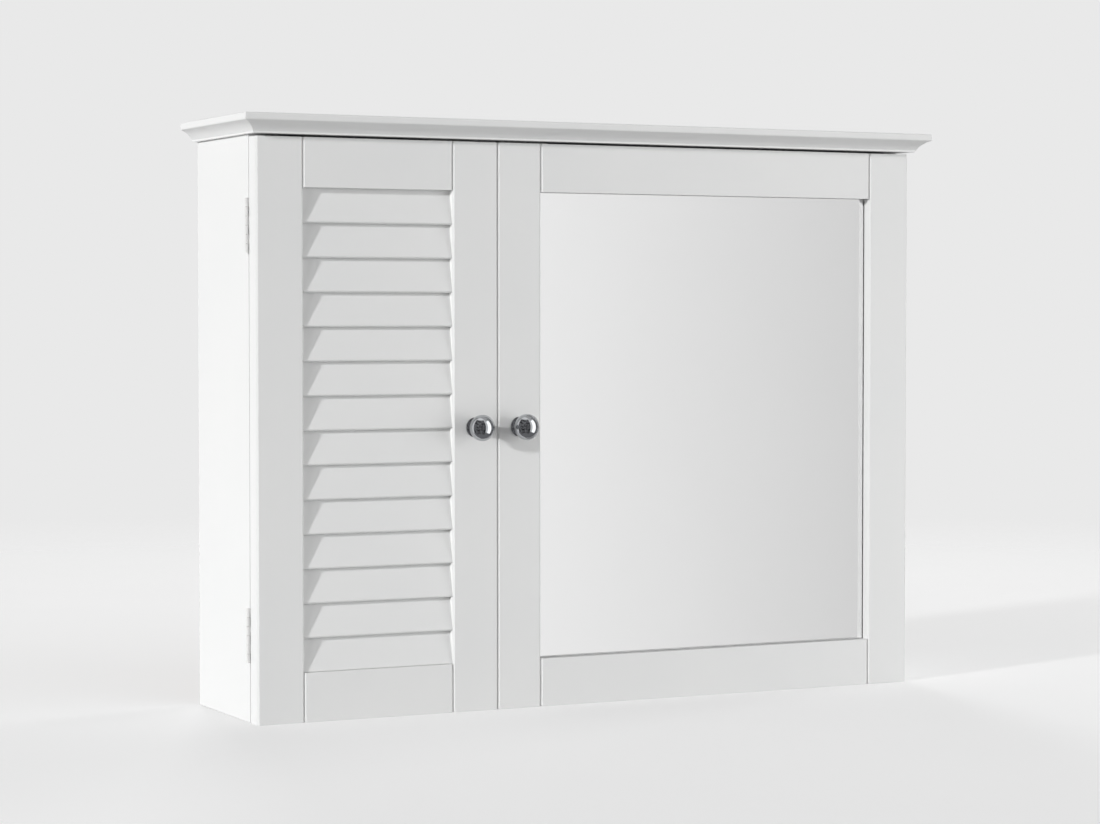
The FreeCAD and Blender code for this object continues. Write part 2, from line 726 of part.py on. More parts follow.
def slat(name, index):
    """Flat slat with all four long edges rounded."""
    body = doc.addObject("PartDesign::Body", name)
    section = outline(body, "YZ_Plane", f"{name}_section", [
        ("0", "0"),
        ("slat_thickness", "0"),
        ("slat_thickness", slat_width),
        ("0", slat_width),
    ])
    strip = pad(body, section, slat_length)
    doc.recompute()
    rounded = body.newObject("PartDesign::Fillet", f"{name}_edges")
    long_edges = [f"Edge{row}" for row, edge in enumerate(strip.Shape.Edges, start=1)
                  if abs(edge.tangentAt(edge.FirstParameter).x) > 0.5]
    rounded.Base = (strip, long_edges)
    bind(rounded, Radius="slat_edge")
    place(body, (slat_left, slat_front, slat_low(index)), LEANING)
    return tilt(body)


def slat_room(index):
    """Slanting housing of one slat, wider by its play all round."""
    lean = "slat_tilt * 1 deg"
    at = (f"{slat_left} - slat_play",
          f"{slat_front} - slat_play * (cos({lean}) + sin({lean}))",
          f"{slat_low(index)} - slat_play * (cos({lean}) - sin({lean}))")
    size = [f"{text} + 2 * slat_play" for text in (slat_length, "slat_thickness", slat_width)]
    return tilt(box(f"slat_room_{index}", at, size, LEANING))


slat_numbers = range(int(number("slat_count")))
louvre_knob_x = f"({left} + louvre_door_width - stile_width / 2)"
strike_hole = strike_screw("louvre", "louvre_strike_hole", "fit_play")
door_frame("louvre", left, "louvre_door_width", louvre_knob_x,
           [slat_room(index) for index in slat_numbers] + [strike_hole])
for index in slat_numbers:
    keep(slat(f"louvre_slat_{index + 1:02d}", index))
keep(knob("louvre_door_knob", louvre_knob_x))
keep(knob_screw("louvre_door_knob_screw", louvre_knob_x))
keep(strike_plate("louvre", strike_hole))
louvre_strike_screw = strike_screw("louvre", "louvre_strike_screw", "0")
keep(group("louvre_door_screws", door_hinge_screws["louvre"] + [louvre_strike_screw]))

# Mirror door: glass and backing board in a stepped rebate behind the frame
opening_left = f"({mirror_door_left} + stile_width)"
opening_low = f"({bottom} + rail_width)"
opening_width = f"({mirror_door_width} - 2 * stile_width)"
opening_height = f"({door_height} - 2 * rail_width)"
glass_front = f"({door_face} + mirror_recess)"
backing_front = f"({glass_front} + glass_thickness)"


def rebated(name, lap, y, thickness, play):
    """Panel that laps behind the frame, or the rebate that takes it with play."""
    beyond = f"({lap} + {play})"
    return box(name, (f"{opening_left} - {beyond}", y, f"{opening_low} - {beyond}"),
               (f"{opening_width} + 2 * {beyond}", thickness, f"{opening_height} + 2 * {beyond}"))


def backing_screws(name, play):
    """Screws along the edges of the backing board."""
    edge = "(backing_lap - backing_screw_inset)"
    y = f"{backing_front} + backing_thickness"
    spots = [(f"{opening_left} + {share} * {opening_width}", z) for share in (0, 0.5, 1)
             for z in (f"{opening_low} - {edge}", f"{opening_low} + {opening_height} + {edge}")]
    spots += [(x, f"{opening_low} + {opening_height} / 2")
              for x in (f"{opening_left} - {edge}", f"{opening_left} + {opening_width} + {edge}")]
    return [screw(f"{name}_{index}", (x, y, z), "-y", "door_screw_length", play)
            for index, (x, z) in enumerate(spots)]


mirror_knob_x = f"({mirror_door_left} + stile_width / 2)"
mirror_strike_hole = strike_screw("mirror", "mirror_strike_hole", "fit_play")
backing_holes = backing_screws("backing_hole", "fit_play")
rebates = [
    rebated("glass_rebate", "glass_lap", glass_front, "door_thickness - mirror_recess", "mirror_play"),
    rebated("backing_rebate", "backing_lap", backing_front,
            "door_thickness - mirror_recess - glass_thickness", "mirror_play"),
]
door_frame("mirror", mirror_door_left, mirror_door_width, mirror_knob_x,
           rebates + backing_holes + [mirror_strike_hole])
keep(rebated("mirror_glass", "glass_lap", glass_front, "glass_thickness", "0"))
backing_blank = rebated("backing_blank", "backing_lap", backing_front, "backing_thickness", "0")
keep(cut("mirror_backing_board", backing_blank, fuse("backing_tools", backing_holes)))
keep(knob("mirror_door_knob", mirror_knob_x))
keep(knob_screw("mirror_door_knob_screw", mirror_knob_x))
keep(strike_plate("mirror", mirror_strike_hole))
keep(group("mirror_door_screws", door_hinge_screws["mirror"] + backing_screws("backing_screw", "0")
           + [strike_screw("mirror", "mirror_strike_screw", "0")]))

# Check everything, then write one file for each piece
doc.recompute()
for item in doc.Objects:
    if "Invalid" in item.State or "Error" in item.State:
        raise RuntimeError(f"{item.Label} failed: {item.State}")
for item in pieces:
    if item.Shape.isNull() or not item.Shape.isValid():
        raise RuntimeError(f"{item.Label} has no valid shape")
os.makedirs("parts", exist_ok=True)
for item in pieces:
    item.Shape.exportStep(f"parts/{item.Label}.step")
    print(f"{item.Label}: {len(item.Shape.Solids)} solids, {item.Shape.Volume:.1f} mm3")
print(f"{len(pieces)} pieces")
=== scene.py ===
# %% [markdown]
# A white bathroom cabinet with a louvred door, a framed mirror door, a moulded cornice and chrome knobs.
# Its shapes were made in CAD and come in as a fixed frame, in metres, with X to the right, Y to the back
# and Z up. This lesson dresses that frame. It places the camera, gives every piece its finish, cuts the
# crosses in the screw heads, softens the boards' edges and lays in the mirror. The floor, the room and
# the lamps come last.

# %% Load the CAD model
import json
import math

import bmesh
import bpy
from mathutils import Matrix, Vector


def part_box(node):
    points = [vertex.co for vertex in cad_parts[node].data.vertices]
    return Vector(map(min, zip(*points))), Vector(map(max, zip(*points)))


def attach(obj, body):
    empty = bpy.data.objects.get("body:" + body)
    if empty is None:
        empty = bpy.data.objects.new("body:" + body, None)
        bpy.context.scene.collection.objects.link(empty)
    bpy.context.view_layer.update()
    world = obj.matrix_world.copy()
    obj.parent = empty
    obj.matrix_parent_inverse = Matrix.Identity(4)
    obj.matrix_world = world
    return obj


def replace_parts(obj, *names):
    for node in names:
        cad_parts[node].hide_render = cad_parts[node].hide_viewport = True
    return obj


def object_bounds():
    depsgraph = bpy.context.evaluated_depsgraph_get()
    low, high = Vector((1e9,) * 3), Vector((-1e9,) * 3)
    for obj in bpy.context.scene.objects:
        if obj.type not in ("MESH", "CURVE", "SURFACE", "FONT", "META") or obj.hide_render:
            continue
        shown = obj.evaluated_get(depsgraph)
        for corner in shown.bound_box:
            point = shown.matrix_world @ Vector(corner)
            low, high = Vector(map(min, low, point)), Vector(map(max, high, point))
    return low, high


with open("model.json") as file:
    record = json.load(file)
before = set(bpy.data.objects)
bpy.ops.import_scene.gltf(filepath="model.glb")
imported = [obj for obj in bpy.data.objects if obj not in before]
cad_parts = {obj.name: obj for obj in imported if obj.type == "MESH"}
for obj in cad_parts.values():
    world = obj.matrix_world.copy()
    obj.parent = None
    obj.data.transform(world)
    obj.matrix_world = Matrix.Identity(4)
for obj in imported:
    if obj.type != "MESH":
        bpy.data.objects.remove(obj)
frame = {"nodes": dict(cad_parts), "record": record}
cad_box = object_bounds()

MM = 0.001
nodes = frame["nodes"]
print(f"{len(nodes)} CAD nodes, {[round(side / MM, 1) for side in cad_box[1] - cad_box[0]]} mm overall")

# %% [markdown]
# The camera. The photograph was taken from the left with a long lens, a little above the middle of the
# cabinet. A lens and a place can be found by trying, or worked out from the cabinet's straight edges as
# they lie in the picture. The second way was used, because the edges then agree to about one pixel.

# %% Camera
CAMERA_PLACE = (-1.1436, -2.3305, -0.1106)
CAMERA_PITCH = 88.0
CAMERA_TURN = -26.57
LENS = 93.5

camera = bpy.data.objects.new("camera", bpy.data.cameras.new("camera"))
bpy.context.scene.collection.objects.link(camera)
camera.location = CAMERA_PLACE
camera.rotation_euler = (math.radians(CAMERA_PITCH), 0, math.radians(CAMERA_TURN))
camera.data.lens = LENS
bpy.context.scene.camera = camera
print(f"camera {camera.location.length:.2f} m from the frame's origin, {LENS} mm lens")

# %% [markdown]
# Helpers for the finishes. A finish is a small tree of nodes. Every tree needs the same three things:
# colours written as they look on a screen, nodes with their settings and links, and a fresh material to
# hold them. Blender calculates in linear light, so one function turns a screen colour into a linear one.
# Patterns are laid by the place on the piece, in metres, so that a size in millimetres can be given for
# each.

# %% Helpers for the finishes
# A Mix node has sockets of the same names for numbers, vectors and colours, so these are found by their
# place: the share, the two colours, and the mixed colour among the outputs.
SHARE = 0
FIRST = 6
SECOND = 7
MIXED = 2


def linear(hex_colour):
    """Linear colour with full alpha from a screen colour such as #E8E8E6, by the sRGB curve."""
    shares = [int(hex_colour[start:start + 2], 16) / 255 for start in (1, 3, 5)]
    return [s / 12.92 if s <= 0.04045 else ((s + 0.055) / 1.055) ** 2.4 for s in shares] + [1]


def add(tree, kind, inputs=None, **settings):
    """Adds a node, sets its settings, and fills its inputs with values or links."""
    node = tree.nodes.new(f"ShaderNode{kind}")
    for name, value in settings.items():
        setattr(node, name, value)
    for socket, source in (inputs or {}).items():
        if isinstance(source, bpy.types.NodeSocket):
            tree.links.new(source, node.inputs[socket])
        else:
            node.inputs[socket].default_value = source
    return node


def new_finish(name):
    """Empty material, its node tree, and the place on the piece that its patterns are laid by."""
    material = bpy.data.materials.new(name)
    material.use_nodes = True
    tree = material.node_tree
    tree.nodes.clear()
    return material, tree, add(tree, "TexCoord").outputs["Object"]


finishes = {}
print("helpers ready")

# %% [markdown]
# White lacquer on MDF: the cabinet's boards, doors and slats. MDF has no grain, and the sprayed lacquer
# dries to a satin skin with a faint orange-peel ripple of about two millimetres. The eye gets a clean
# neutral white, a broad soft sheen, and just enough unevenness that it isn't plastic. The ripple is a
# noise bump, and a much larger noise shifts tone and sheen a little, as a sprayed coat does.

# %% White lacquer
PEEL = 2.2 * MM
PEEL_DEPTH = 0.02 * MM
CLOUD = 140 * MM

finish, tree, place = new_finish("satin_lacquer_on_mdf")
cloud = add(tree, "TexNoise", {"Vector": place, "Scale": 1 / CLOUD, "Detail": 3}).outputs["Fac"]
tone = add(tree, "Mix", {SHARE: cloud, FIRST: linear("#E7E8E8"), SECOND: linear("#EEEEED")},
           data_type="RGBA").outputs[MIXED]
sheen = add(tree, "MapRange", {"Value": cloud, "To Min": 0.36, "To Max": 0.46}).outputs[0]
peel = add(tree, "TexNoise", {"Vector": place, "Scale": 1 / PEEL, "Detail": 1}).outputs["Fac"]
ripple = add(tree, "Bump", {"Height": peel, "Distance": PEEL_DEPTH, "Strength": 0.35}).outputs[0]
lacquer = add(tree, "BsdfPrincipled", {"Base Color": tone, "Roughness": sheen, "IOR": 1.5, "Normal": ripple})
add(tree, "OutputMaterial", {"Surface": lacquer.outputs[0]})
finishes["white_lacquer"] = finish
print(finish.name)

# %% [markdown]
# Chrome on turned zinc: the two knobs. Plated chrome is a near-perfect mirror with a cool grey tint, so
# what shows is the room around it. Polishing leaves fine marks that keep it from looking like liquid: a
# noise changes the roughness by a few hundredths. Real marks are hundredths of a millimetre apart, and
# are drawn at a third of a millimetre to show.

# %% Chrome plate
POLISH = 0.35 * MM

finish, tree, place = new_finish("polished_chrome_plate")
marks = add(tree, "TexNoise", {"Vector": place, "Scale": 1 / POLISH, "Detail": 2}).outputs["Fac"]
gloss = add(tree, "MapRange", {"Value": marks, "To Min": 0.03, "To Max": 0.09}).outputs[0]
chrome = add(tree, "BsdfPrincipled", {"Base Color": linear("#BFC1C4"), "Metallic": 1, "Roughness": gloss})
add(tree, "OutputMaterial", {"Surface": chrome.outputs[0]})
finishes["chrome_plate"] = finish
print(finish.name)

# %% [markdown]
# Nickel on rolled steel: hinge pins, screws, shelf pegs and strike plates. The steel was rolled and
# brushed before plating, so it has a warm grey shine drawn out in one direction. The brush lines are a
# noise that is stretched upwards, half a millimetre apart where the real ones are much finer, so that
# they show.

# %% Nickel plate
BRUSH = 0.5 * MM
BRUSH_STRETCH = 12

finish, tree, place = new_finish("brushed_nickel_on_steel")
drawn = add(tree, "Mapping", {"Vector": place, "Scale": (1, 1, 1 / BRUSH_STRETCH)}).outputs[0]
lines = add(tree, "TexNoise", {"Vector": drawn, "Scale": 1 / BRUSH, "Detail": 3}).outputs["Fac"]
tone = add(tree, "Mix", {SHARE: lines, FIRST: linear("#B4B2AD"), SECOND: linear("#CFCDC8")},
           data_type="RGBA").outputs[MIXED]
gloss = add(tree, "MapRange", {"Value": lines, "To Min": 0.2, "To Max": 0.38}).outputs[0]
nickel = add(tree, "BsdfPrincipled", {"Base Color": tone, "Metallic": 1, "Roughness": gloss})
add(tree, "OutputMaterial", {"Surface": nickel.outputs[0]})
finishes["plated_steel"] = finish
print(finish.name)

# %% [markdown]
# White paint on steel: the hinges. In the photograph their barrels are as pale as the boards, and only
# the thin gaps between the knuckles are dark, so the hinges are painted. Baked powder paint is smooth,
# with a fine ripple and a shine a little stronger than the lacquer's. A noise of a millimetre gives the
# ripple, and the same noise shifts the tone.

# %% White paint on steel
POWDER = 1.0 * MM
POWDER_DEPTH = 0.01 * MM

finish, tree, place = new_finish("white_powder_paint_on_steel")
powder = add(tree, "TexNoise", {"Vector": place, "Scale": 1 / POWDER, "Detail": 2}).outputs["Fac"]
tone = add(tree, "Mix", {SHARE: powder, FIRST: linear("#E2E2E1"), SECOND: linear("#EAEAE9")},
           data_type="RGBA").outputs[MIXED]
ripple = add(tree, "Bump", {"Height": powder, "Distance": POWDER_DEPTH, "Strength": 0.5}).outputs[0]
paint = add(tree, "BsdfPrincipled", {"Base Color": tone, "Roughness": 0.35, "Normal": ripple})
add(tree, "OutputMaterial", {"Surface": paint.outputs[0]})
painted_steel = finish
print(finish.name)

# %% [markdown]
# Die-cast zinc: the cams and cam bolts. A casting comes out of its mould dull and mottled, a blue-grey
# metal with a skin like fine sand. One noise with grains of about a millimetre sets tone, roughness and a
# shallow bump together, because on a casting they go together.

# %% Die-cast zinc
CAST_GRAIN = 0.9 * MM
CAST_DEPTH = 0.03 * MM

finish, tree, place = new_finish("die_cast_zinc")
grain = add(tree, "TexNoise", {"Vector": place, "Scale": 1 / CAST_GRAIN, "Detail": 4}).outputs["Fac"]
tone = add(tree, "Mix", {SHARE: grain, FIRST: linear("#7E8285"), SECOND: linear("#A9ACAE")},
           data_type="RGBA").outputs[MIXED]
dull = add(tree, "MapRange", {"Value": grain, "To Min": 0.4, "To Max": 0.6}).outputs[0]
skin = add(tree, "Bump", {"Height": grain, "Distance": CAST_DEPTH}).outputs[0]
zinc = add(tree, "BsdfPrincipled", {"Base Color": tone, "Metallic": 1, "Roughness": dull, "Normal": skin})
add(tree, "OutputMaterial", {"Surface": zinc.outputs[0]})
finishes["zinc_alloy"] = finish
print(finish.name)

# %% [markdown]
# Hardboard: the back panel and the board behind the mirror. It is wood fibre pressed brown and hard, with
# a wire-screen print on the rough side. Two crossed waves make that print, at twice the real spacing so
# that it shows, and a noise drawn out along the board makes the fibres. The back panel's inner face is
# painted white, as the inside of the cabinet is, so its finish is chosen by depth: in front of the
# panel's middle it is paint, and behind it bare fibre.

# %% Hardboard, bare and painted on one face
SCREEN = 3.2 * MM
SCREEN_DEPTH = 0.15 * MM
FIBRE = 2.5 * MM
FIBRE_STRETCH = 6
# A Wave texture of scale 1 repeats after this length.
WAVE_LENGTH = math.pi / 10
# A depth in front of everything, for a board with no paint.
NO_PAINT = -1.0


def hardboard(name, painted_in_front_of):
    """Pressed fibre board, painted white in front of a depth."""
    finish, tree, place = new_finish(name)
    drawn = add(tree, "Mapping", {"Vector": place, "Scale": (1 / FIBRE_STRETCH, 1, 1)}).outputs[0]
    fibre = add(tree, "TexNoise", {"Vector": drawn, "Scale": 1 / FIBRE, "Detail": 5}).outputs["Fac"]
    brown = add(tree, "Mix", {SHARE: fibre, FIRST: linear("#5F432C"), SECOND: linear("#9A7550")},
                data_type="RGBA").outputs[MIXED]
    print_wave = {"Vector": place, "Scale": WAVE_LENGTH / SCREEN}
    across = add(tree, "TexWave", print_wave, bands_direction="X").outputs["Fac"]
    along = add(tree, "TexWave", print_wave, bands_direction="Z").outputs["Fac"]
    screen = add(tree, "Math", {0: across, 1: along}, operation="MULTIPLY").outputs[0]
    depth = add(tree, "SeparateXYZ", {0: place}).outputs["Y"]
    painted = add(tree, "Math", {0: depth, 1: painted_in_front_of}, operation="LESS_THAN").outputs[0]
    tone = add(tree, "Mix", {SHARE: painted, FIRST: brown, SECOND: linear("#E6E6E4")},
               data_type="RGBA").outputs[MIXED]
    gloss = add(tree, "MapRange", {"Value": painted, "To Min": 0.75, "To Max": 0.45}).outputs[0]
    bare = add(tree, "Math", {0: 1.0, 1: painted}, operation="SUBTRACT").outputs[0]
    print_height = add(tree, "Math", {0: screen, 1: bare}, operation="MULTIPLY").outputs[0]
    pressed = add(tree, "Bump", {"Height": print_height, "Distance": SCREEN_DEPTH}).outputs[0]
    board = add(tree, "BsdfPrincipled", {"Base Color": tone, "Roughness": gloss, "Normal": pressed})
    add(tree, "OutputMaterial", {"Surface": board.outputs[0]})
    return finish


back_low, back_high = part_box("back_panel")
finishes["hardboard"] = hardboard("bare_hardboard", NO_PAINT)
painted_hardboard = hardboard("hardboard_painted_inside", (back_low.y + back_high.y) / 2)
print(finishes["hardboard"].name, painted_hardboard.name)

# %% [markdown]
# Beech: the dowels. They are turned from plain straight-grained beech and left raw, pinkish brown with
# short dark flecks. They sit inside the boards and show in no view, so the grain is one noise, stretched
# the ways that dowels lie, and no more.

# %% Beech
FLECK = 0.6 * MM
FLECK_STRETCH = 10

finish, tree, place = new_finish("raw_beech")
along_grain = 1 / FLECK_STRETCH
drawn = add(tree, "Mapping", {"Vector": place, "Scale": (along_grain, 1, along_grain)}).outputs[0]
fleck = add(tree, "TexNoise", {"Vector": drawn, "Scale": 1 / FLECK, "Detail": 4}).outputs["Fac"]
tone = add(tree, "Mix", {SHARE: fleck, FIRST: linear("#A97F55"), SECOND: linear("#D8B88C")},
           data_type="RGBA").outputs[MIXED]
beech = add(tree, "BsdfPrincipled", {"Base Color": tone, "Roughness": 0.7})
add(tree, "OutputMaterial", {"Surface": beech.outputs[0]})
finishes["beech"] = finish
print(finish.name)

# %% [markdown]
# ABS plastic and ferrite: the magnetic catches. The case is moulded white plastic with a spark-eroded
# grain, and the magnet is a sintered block, dark grey and dull like pottery. Both are one noise each,
# sized to the mould's grain and to the sintered powder drawn coarse enough to see.

# %% Moulded plastic
MOULD_GRAIN = 0.6 * MM
MOULD_DEPTH = 0.03 * MM

finish, tree, place = new_finish("moulded_white_abs")
grain = add(tree, "TexNoise", {"Vector": place, "Scale": 1 / MOULD_GRAIN, "Detail": 2}).outputs["Fac"]
tone = add(tree, "Mix", {SHARE: grain, FIRST: linear("#DEDEDB"), SECOND: linear("#EBEBE8")},
           data_type="RGBA").outputs[MIXED]
skin = add(tree, "Bump", {"Height": grain, "Distance": MOULD_DEPTH}).outputs[0]
plastic = add(tree, "BsdfPrincipled", {"Base Color": tone, "Roughness": 0.42, "IOR": 1.53, "Normal": skin})
add(tree, "OutputMaterial", {"Surface": plastic.outputs[0]})
finishes["white_plastic"] = finish
print(finish.name)

# %% Sintered ferrite
SINTER_GRAIN = 0.8 * MM

finish, tree, place = new_finish("sintered_ferrite")
grain = add(tree, "TexNoise", {"Vector": place, "Scale": 1 / SINTER_GRAIN, "Detail": 4}).outputs["Fac"]
tone = add(tree, "Mix", {SHARE: grain, FIRST: linear("#1C1C1F"), SECOND: linear("#3A3A3D")},
           data_type="RGBA").outputs[MIXED]
ferrite = add(tree, "BsdfPrincipled", {"Base Color": tone, "Roughness": 0.65})
add(tree, "OutputMaterial", {"Surface": ferrite.outputs[0]})
finishes["ferrite"] = finish
print(finish.name)

# %% [markdown]
# Silvered float glass: the mirror. Light goes through the clear sheet, meets the silver and comes out
# again, so the frame's reflection starts a little away from the frame, with a thin grey line between.
# That line can't be painted: it comes from a clear front and a metal back, which are two materials on one
# sheet. The photograph's mirror is a neutral grey, so both have next to no colour. Float glass is even,
# and only a very slow drift of tone is drawn in each.

# %% Glass and silver
GLASS_DRIFT = 200 * MM
SILVER_DRIFT = 120 * MM

finish, tree, place = new_finish("clear_float_glass")
drift = add(tree, "TexNoise", {"Vector": place, "Scale": 1 / GLASS_DRIFT, "Detail": 1}).outputs["Fac"]
tint = add(tree, "Mix", {SHARE: drift, FIRST: linear("#FDFDFD"), SECOND: linear("#FEFEFE")},
           data_type="RGBA").outputs[MIXED]
glass = add(tree, "BsdfPrincipled", {"Base Color": tint, "Roughness": 0, "IOR": 1.52,
                                     "Transmission Weight": 1})
add(tree, "OutputMaterial", {"Surface": glass.outputs[0]})
clear_glass = finish

finish, tree, place = new_finish("silvering_on_glass")
drift = add(tree, "TexNoise", {"Vector": place, "Scale": 1 / SILVER_DRIFT, "Detail": 1}).outputs["Fac"]
tint = add(tree, "Mix", {SHARE: drift, FIRST: linear("#F7F7F7"), SECOND: linear("#F9F9F9")},
           data_type="RGBA").outputs[MIXED]
silver = add(tree, "BsdfPrincipled", {"Base Color": tint, "Metallic": 1, "Roughness": 0.01})
add(tree, "OutputMaterial", {"Surface": silver.outputs[0]})
silvering = finish
finishes["silvered_glass"] = clear_glass
print(clear_glass.name, silvering.name)

# %% [markdown]
# Every CAD node takes the finish that the record names for it. A loop does it, so that no piece is
# forgotten. Two kinds of piece are painted over that: the back panel on its inner face, and the hinge
# leaves all over.

# %% Put the finishes on the CAD nodes
for part in frame["record"]["subparts"]:
    mesh = nodes[part["node"]].data
    mesh.materials.clear()
    mesh.materials.append(finishes[part["material_slot"]])
nodes["back_panel"].data.materials[0] = painted_hardboard
for name in nodes:
    if name.endswith("_leaf"):
        nodes[name].data.materials[0] = painted_steel

# %% [markdown]
# Screws and cams have a cross for the driver in their faces. CAD leaves it out, because it holds nothing.
# The cross could be a bump, but a recess is a real hollow, so it is cut: each solid is copied, the copy's
# turning face is found from its own points, and a tapered cross is subtracted there with a Boolean.

# %% Find the separate solids of a node
WELD = 0.001 * MM


def welded(node):
    """Mesh of a node with its split corners joined again."""
    mesh = bmesh.new()
    mesh.from_mesh(nodes[node].data)
    bmesh.ops.remove_doubles(mesh, verts=mesh.verts, dist=WELD)
    return mesh


def solids_of(mesh):
    """Points of each separate solid, in the order of the mesh."""
    seen = set()
    for first in mesh.verts:
        if first in seen:
            continue
        seen.add(first)
        solid = [first]
        for corner in solid:
            fresh = [edge.other_vert(corner) for edge in corner.link_edges]
            fresh = [other for other in fresh if other not in seen]
            seen.update(fresh)
            solid += dict.fromkeys(fresh)
        yield [corner.co.copy() for corner in solid]


def box_of(points):
    """Lowest and highest corner of some points."""
    return [Vector(pick(point[axis] for point in points) for axis in range(3)) for pick in (min, max)]


print(f"{sum(1 for _ in solids_of(welded('carcass_screws')))} screws in the carcass")

# %% Find where a driver goes in
def screw_face(points):
    """Middle of a screw's head, and the direction into it. The head is the wider end."""
    low, high = box_of(points)
    axis = max(range(3), key=lambda side: high[side] - low[side])
    middle = (low + high) / 2
    ends = []
    for level in (low[axis], high[axis]):
        rim = [point for point in points if abs(point[axis] - level) < WELD]
        low_rim, high_rim = box_of(rim)
        ends.append(((high_rim - low_rim).length, level))
    face = middle.copy()
    face[axis] = max(ends)[1]
    return face, (middle - face).normalized()


def cam_face(points):
    """Middle of a cam's open end, and the direction into it: from the cabinet's inside or from below."""
    low, high = box_of(points)
    middle = (low + high) / 2
    axis = min(range(3), key=lambda side: high[side] - low[side])
    face = middle.copy()
    face[axis] = min(low[axis], high[axis], key=abs) if axis == 0 else low[axis]
    return face, (middle - face).normalized()


first_head, _ = screw_face(next(solids_of(welded("carcass_screws"))))
print("first screw head at", [round(side / MM, 1) for side in first_head], "mm")

# %% Make a tool of crosses
CROSS_START = 0.3 * MM
CROSS_TAPER = 0.6
CROSS_ARMS = 4


def add_cross(tool, face, inward, reach, half_width, depth):
    """Adds one tapered cross to the cutting tool, from a little outside the face to its depth."""
    side = inward.orthogonal().normalized()
    other = inward.cross(side)
    rings = []
    for level, arm in ((-CROSS_START, reach), (depth, reach * CROSS_TAPER)):
        ring = []
        for _ in range(CROSS_ARMS):
            for x, y in ((arm, -half_width), (arm, half_width), (half_width, half_width)):
                ring.append(tool.verts.new(face + inward * level + side * x + other * y))
            side, other = other, -side
        rings.append(ring)
    top, bottom = rings
    tool.faces.new(top)
    tool.faces.new(reversed(bottom))
    for index in range(len(top)):
        after = (index + 1) % len(top)
        tool.faces.new((top[after], top[index], bottom[index], bottom[after]))
    bmesh.ops.recalc_face_normals(tool, faces=tool.faces)


print("cross tool ready")

# %% Put a copied piece into the scene
SHARP_TURN = math.radians(35)


def new_piece(name, mesh, body, *stands_for):
    """Puts a finished bmesh into the scene as a piece that stands for CAD nodes and rides on a body."""
    data = bpy.data.meshes.new(name)
    mesh.to_mesh(data)
    mesh.free()
    piece = bpy.data.objects.new(name, data)
    bpy.context.scene.collection.objects.link(piece)
    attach(piece, body)
    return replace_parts(piece, *stands_for)


def smooth(mesh, sharp_turn=SHARP_TURN):
    """Smooth shading that stops at sharp turns."""
    mesh.shade_smooth()
    mesh.set_sharp_from_angle(angle=sharp_turn)


print("pieces can be added")

# %% Cut the crosses
def cut_crosses(node, body, face_of, reach, half_width, depth):
    """Copy of a node whose solids each have a cross in the face that a driver turns."""
    copy = welded(node)
    tool_mesh = bmesh.new()
    for points in solids_of(copy):
        face, inward = face_of(points)
        add_cross(tool_mesh, face, inward, reach, half_width, depth)
    tool_data = bpy.data.meshes.new("cross_tool")
    tool_mesh.to_mesh(tool_data)
    tool = bpy.data.objects.new("cross_tool", tool_data)
    bpy.context.scene.collection.objects.link(tool)
    piece = new_piece(f"{node}_with_crosses", copy, body, node)
    cutting = piece.modifiers.new("crosses", "BOOLEAN")
    cutting.object = tool
    cutting.operation = "DIFFERENCE"
    cutting.solver = "EXACT"
    seen = piece.evaluated_get(bpy.context.evaluated_depsgraph_get())
    data = bpy.data.meshes.new_from_object(seen)
    piece.modifiers.clear()
    piece.data = data
    bpy.data.objects.remove(tool)
    data.materials.clear()
    data.materials.append(nodes[node].data.materials[0])
    smooth(data)
    print(f"{piece.name}: {len(data.polygons)} faces")
    return piece


# Each cross has the reach of its arms from the middle, half their width, and a depth.
SCREW_CROSS = (1.5 * MM, 0.28 * MM, 0.7 * MM)
KNOB_SCREW_CROSS = (2.2 * MM, 0.4 * MM, 1.4 * MM)
CAM_CROSS = (4.5 * MM, 0.8 * MM, 3.5 * MM)
for body in ("carcass", "louvre_door", "mirror_door"):
    cut_crosses(f"{body}_screws", body, screw_face, *SCREW_CROSS)
for body in ("louvre_door", "mirror_door"):
    cut_crosses(f"{body}_knob_screw", body, screw_face, *KNOB_SCREW_CROSS)
cut_crosses("cam_locks", "carcass", cam_face, *CAM_CROSS)

# %% [markdown]
# Soft edges on the boards. Boards are sanded before they are sprayed, so each edge has a small round that
# catches the light, where CAD has a sharp line. A Bevel modifier would round the holes and grooves too.
# Here each board is copied, the triangles of its flat faces are joined, and only the edges of the board's
# own box are bevelled. The facets of the round are too small to see, so they stay flat, and only the
# walls of the holes are shaded smooth.

# %% Soft edges on the boards
EDGE_ROUND = 0.6 * MM
EDGE_FACETS = 3
ROUND_PROFILE = 0.5
LEVEL = math.radians(0.5)
BORE_TURN = math.radians(18)
BOARDS = ("left_side_panel", "right_side_panel", "bottom_panel", "hanging_rail", "centre_divider",
          "left_shelf", "right_shelf")


def along_box(edge, low, high):
    """Whether both ends of an edge lie on the same two sides of a box."""
    ends = [corner.co for corner in edge.verts]
    sides = [(axis, level) for axis in range(3) for level in (low[axis], high[axis])]
    return sum(all(abs(end[axis] - level) < WELD for end in ends) for axis, level in sides) >= 2


def spray(piece):
    """White lacquer on a copied board."""
    piece.data.materials.append(finishes["white_lacquer"])
    smooth(piece.data, BORE_TURN)


for node in BOARDS:
    board = welded(node)
    bmesh.ops.dissolve_limit(board, angle_limit=LEVEL, verts=board.verts, edges=board.edges)
    low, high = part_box(node)
    box_edges = [edge for edge in board.edges if along_box(edge, low, high)]
    bmesh.ops.bevel(board, geom=box_edges, offset=EDGE_ROUND, segments=EDGE_FACETS, profile=ROUND_PROFILE,
                    affect="EDGES")
    piece = new_piece(f"{node}_sanded", board, "carcass", node)
    spray(piece)
    print(f"{piece.name}: {len(box_edges)} edges rounded")

